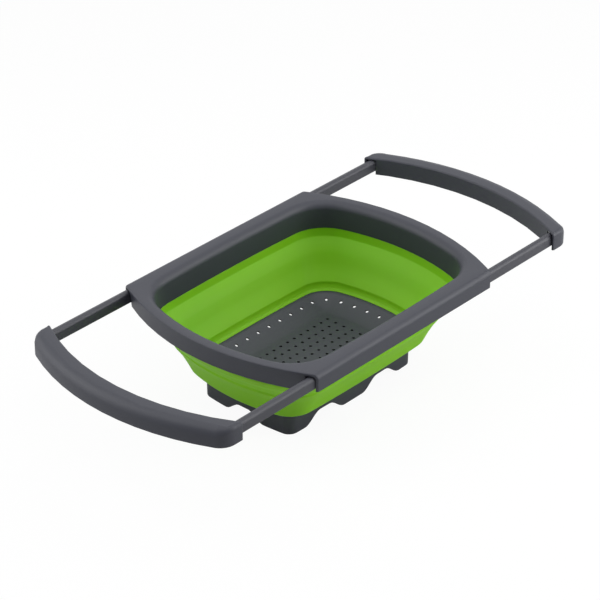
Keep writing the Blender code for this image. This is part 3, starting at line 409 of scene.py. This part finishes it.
strainer = {
    # all in mm; the slope's rings are shares of its width, and bend is how much steeper than a
    # straight slope it starts; an arch has its middle, half width and height
    "halfLength": 120.0, "halfWidth": 80.0, "corner": 34.0, "endRadius": 231.0, "floorCorner": 6.0,
    "edge": 2.0, "edgeFold": 0.3, "rim": 2.5, "thickness": 1.8, "thicker": 0.7,
    "top": 38.6, "drop": 10.5, "slope": 32.0, "bend": 0.65,
    "shares": (0.0, 0.07, 0.17, 0.29, 0.42, 0.56, 0.70, 0.85, 1.0),
    "steps": (14, 12, 20), "foldSegments": 2, "sharpAngle": 35.0,
    "rimHoles": {
        "inset": 11.2, "start": -10.1, "count": 36, "radius": 1.9, "depth": 7.0, "sides": 16,
    },
    "floorHoles": {
        "columns": 14, "rows": 7, "pitch": (11.3, 12.2), "radius": 1.8, "depth": 6.0, "sides": 12,
    },
    "foot": {
        "inset": 13.3, "corner": 12.5, "endRadius": 440.0, "draft": 0.4, "wall": 2.4, "round": 0.5,
        "outerTop": 32.4, "innerTop": 31.2, "sideArch": (46.9, 32.0, 13.0),
        "endArch": (0.0, 28.0, 11.5), "archEnd": 79.0, "crown": 0.22, "steps": (16, 8, 32),
    },
}


def plateTop(look, inset):
    # height of the plate's upper face at this distance in from its nominal edge
    share = min(max((inset - look["rim"]) / look["slope"], 0.0), 1.0)
    return look["top"] - look["drop"] * (1 + look["bend"] * (1 - share)) * share


def plateRing(look, inset, height, fold=0.0):
    return (
        look["halfLength"] - inset, look["halfWidth"] - inset,
        max(look["corner"] - inset, look["floorCorner"]), look["endRadius"] - inset, height, fold,
    )


def makePlate(look):
    insets = [look["rim"] + look["slope"] * share for share in look["shares"]]
    # the floor is a little thicker than the rim, so that its holes look dark from the side
    rows = [
        plateRing(look, inset, plateTop(look, inset) - look["thickness"] - look["thicker"] * share)
        for inset, share in reversed(list(zip(insets, look["shares"])))
    ]
    rows += [
        plateRing(look, -look["edge"], look["top"] - drop, look["edgeFold"])
        for drop in (look["thickness"], 0.0)
    ]
    rows += [plateRing(look, inset, plateTop(look, inset)) for inset in insets]
    bm = pullRings(rows, look["steps"], look["foldSegments"], False)
    bmesh.ops.edgeloop_fill(bm, edges=[e for e in bm.edges if e.is_boundary])
    return bm


def archLift(distance, arch, crown):
    middle, half, height = arch
    share = min(max((abs(distance - middle) / half - crown) / (1 - crown), 0.0), 1.0)
    return height * (1 + cos(pi * share)) / 2


def makeFootRing(look):
    foot = look["foot"]

    def lowerEdge(x, y):
        if abs(x) > foot["archEnd"]:
            return archLift(abs(y), foot["endArch"], foot["crown"])
        return archLift(abs(x), foot["sideArch"], foot["crown"])

    def footRing(inset, height, fold=0.0):
        reach = foot["inset"] + inset
        return (
            look["halfLength"] - reach, look["halfWidth"] - reach, foot["corner"] - inset,
            foot["endRadius"] - inset, height, fold,
        )

    rows = [
        footRing(foot["draft"], lowerEdge, foot["round"]),
        footRing(0.0, foot["outerTop"]),
        footRing(foot["wall"], foot["innerTop"]),
        footRing(foot["draft"] + foot["wall"], lowerEdge, foot["round"]),
    ]
    return pullRings(rows, foot["steps"], look["foldSegments"], True)


def addCutter(bm, hole, place, turn=Matrix()):
    bmesh.ops.create_cone(
        bm, cap_ends=True, segments=hole["sides"], radius1=hole["radius"] / mmInMetre,
        radius2=hole["radius"] / mmInMetre, depth=hole["depth"] / mmInMetre,
        matrix=Matrix.Translation([axis / mmInMetre for axis in place]) @ turn,
    )


def makeHoles(look):
    bm = bmesh.new()
    rim, grid = look["rimHoles"], look["floorHoles"]
    outline = [Vector(p) for p in oblong(*plateRing(look, rim["inset"], 0.0)[:4], look["steps"])]
    sides = [(a, b, (b - a).length) for a, b in zip(outline, outline[1:] + outline[:1])]
    around = sum(length for _, _, length in sides)
    height = plateTop(look, rim["inset"]) - look["thickness"] / 2
    # the fall of the slope over 1 mm leans a rim hole square to it
    lean = plateTop(look, rim["inset"] - 0.5) - plateTop(look, rim["inset"] + 0.5)
    for number in range(rim["count"]):
        # rim holes keep an even pitch along the edge
        left = (rim["start"] + around * number / rim["count"]) % around
        for a, b, length in sides:
            if left <= length:
                break
            left -= length
        place, inward = a.lerp(b, left / length), Vector((a.y - b.y, b.x - a.x)).normalized()
        axis = Vector((inward.x * lean, inward.y * lean, 1.0))
        addCutter(bm, rim, (*place, height), axis.to_track_quat("Z", "Y").to_matrix().to_4x4())
    for column in range(grid["columns"]):
        for row in range(grid["rows"]):
            x = (column - (grid["columns"] - 1) / 2) * grid["pitch"][0]
            y = (row - (grid["rows"] - 1) / 2) * grid["pitch"][1]
            addCutter(bm, grid, (x, y, look["top"] - look["drop"]))
    return bm


def carved(name, bm, changes, slot):
    # one mesh from a first shape, and from others that are joined to it or cut out of it in turn
    parts = []
    for number, (part, kind, finish) in enumerate([(bm, None, slot)] + changes):
        bmesh.ops.recalc_face_normals(part, faces=part.faces[:])
        mesh = meshFrom(part, f"{name}_{number}")
        mesh.materials.append(finishes[finish])
        parts.append(bpy.data.objects.new(f"{name}_{number}", mesh))
        scene.collection.objects.link(parts[-1])
        if kind:
            change = parts[0].modifiers.new(kind, "BOOLEAN")
            change.object, change.operation, change.solver = parts[-1], kind, "EXACT"
            change.material_mode = "TRANSFER"
    bpy.context.view_layer.update()
    whole = parts[0].evaluated_get(bpy.context.evaluated_depsgraph_get())
    mesh = bpy.data.meshes.new_from_object(whole)
    for part in parts:
        bpy.data.objects.remove(part, do_unlink=True)
    return mesh


# the cutters pass their near-black finish, painted shade, on to the walls of the holes
changes = [
    (makeFootRing(strainer), "UNION", "base_grey"),
    (makeHoles(strainer), "DIFFERENCE", "hole_painted_shade"),
]
baseMesh = carved("strainer_base_skin", makePlate(strainer), changes, "base_grey")
basePiece = placePiece(baseMesh, "strainer_base_skin", "base_grey", strainer["sharpAngle"])
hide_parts("strainer_base")
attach(basePiece, "base")
print("strainer base made")


# Smooth copies of the plastic CAD nodes, with the corners of their loose triangles merged

smoothing = {"merge": 0.000005, "sharpAngle": 40.0}


def smoothCopy(nodeName, body):
    bm = bmesh.new()
    bm.from_mesh(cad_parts[nodeName].data)
    bmesh.ops.remove_doubles(bm, verts=bm.verts[:], dist=smoothing["merge"])
    for face in bm.faces:
        face.material_index = 0
    name = nodeName + "_skin"
    piece = placePiece(meshFrom(bm, name), name, slotFor(nodeName), smoothing["sharpAngle"])
    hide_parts(nodeName)
    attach(piece, body)


smoothCopy("rim_frame", "rim")
smoothCopy("left_grip", "left_handle")
smoothCopy("right_grip", "right_handle")
for end in ("left", "right"):
    for side in ("near", "far"):
        smoothCopy(f"{end}_{side}_rail", f"{end}_handle")
print("plastic pieces dressed")


# Camera, light and floor

camera = {
    "place": (-1.8166, -1.6142, 1.5455), "turn": (59.26, 0.0, -48.15),
    "lens": 155.0, "sensor": 36.0,
}
cameraData = bpy.data.cameras.new("camera")
cameraData.lens = camera["lens"]
cameraData.sensor_width = camera["sensor"]
cameraObject = bpy.data.objects.new("camera", cameraData)
cameraObject.location = camera["place"]
cameraObject.rotation_euler = [radians(angle) for angle in camera["turn"]]
scene.collection.objects.link(cameraObject)
scene.camera = cameraObject

lamps = {
    # the light comes from above and from both sides of the camera, so faces turned to it stay dark
    "overhead": {"place": (0.0, 0.0, 1.6), "size": (1.8, 1.8), "power": 10.2},
    "leftLow": {"place": (-1.0, 1.12, 0.45), "size": (1.2, 0.8), "power": 4.6},
    "rightLow": {"place": (1.0, -1.12, 0.45), "size": (1.2, 0.8), "power": 9.9},
    "leftHigh": {"place": (-0.8, 0.89, 1.1), "size": (1.2, 1.0), "power": 7.2},
    "rightHigh": {"place": (0.8, -0.89, 1.1), "size": (1.2, 1.0), "power": 6.6},
    "behind": {"place": (0.97, 0.87, 1.0), "size": (1.4, 1.0), "power": 1.6},
}
lampAim = (0.0, 0.0, 0.08)
for name, lamp in lamps.items():
    lampData = bpy.data.lights.new(name, "AREA")
    lampData.shape = "RECTANGLE"
    lampData.size, lampData.size_y = lamp["size"]
    lampData.energy = lamp["power"]
    lampObject = bpy.data.objects.new(name, lampData)
    lampObject.location = lamp["place"]
    aim = Vector(lampAim) - Vector(lamp["place"])
    lampObject.rotation_mode = "QUATERNION"
    lampObject.rotation_quaternion = aim.to_track_quat("-Z", "Y")
    scene.collection.objects.link(lampObject)

studio = {
    # the floor keeps a trace of the object's shadow for the camera, and to what mirrors it
    # shows a painted shadow, a dark ellipse beneath the basket; lengths in metres
    "ambient": (0.9, 0.95, 1.0), "level": 0.02, "white": (1.0, 1.0, 1.0), "backdrop": 1.0,
    "floor": (0.86, 0.86, 0.86), "floorSize": 6.0, "plain": 0.90, "glow": 1.04,
    "mirrored": 0.80, "under": 0.12, "halfLength": 0.150, "halfWidth": 0.110, "fade": 0.25,
}


def rayKinds(finish):
    # 1 for a ray from the camera, and 1 for one from a reflection or through clear plastic
    direct, glossy, clear = (
        finish.add("LightPath", out=f"Is {kind} Ray")
        for kind in ("Camera", "Glossy", "Transmission")
    )
    return direct, glossy.larger(clear)


scene.world = bpy.data.worlds.new("studio")
sky = Finish(scene.world)
seen, mirrored = rayKinds(sky)
dim = sky.add("Background", sockets={"Color": studio["ambient"], "Strength": studio["level"]})
white = sky.add("Background", sockets={"Color": studio["white"], "Strength": studio["backdrop"]})
both = sky.add("MixShader", sockets={0: seen.larger(mirrored), 1: dim, 2: white})
sky.show(both, "OutputWorld")

floorFinish = Finish(bpy.data.materials.new("studio_floor"))
spot = floorFinish.add("TexCoord", out="Object")
along, across = (floorFinish.add("SeparateXYZ", sockets={0: spot}, out=axis) for axis in "XY")
# painted shadow: for reflected rays the floor's glow drops to a low level inside an ellipse beneath
# the basket and fades back beyond it
far = ((along / studio["halfLength"]) ** 2.0 + (across / studio["halfWidth"]) ** 2.0) ** 0.5
lit = ((far - 1.0) / (studio["fade"] / studio["halfWidth"])).clamped()
seen, mirrored = rayKinds(floorFinish)
mirroredLevelWithPaintedShadow = studio["under"] + lit * (studio["mirrored"] - studio["under"])
matt = floorFinish.add("BsdfDiffuse", sockets={"Color": studio["floor"]})
glow = floorFinish.add("Emission", sockets={"Color": studio["white"], "Strength": studio["glow"]})
floorShader = floorFinish.add("MixShader", sockets={
    0: seen * studio["plain"] + mirrored * mirroredLevelWithPaintedShadow, 1: matt, 2: glow,
})
bm = bmesh.new()
bmesh.ops.create_grid(bm, x_segments=1, y_segments=1, size=studio["floorSize"])
floorMesh = meshFrom(bm, "floor")
floorMesh.materials.append(floorFinish.show(floorShader))
floor = bpy.data.objects.new("floor", floorMesh)
scene.collection.objects.link(floor)
print("studio lit")
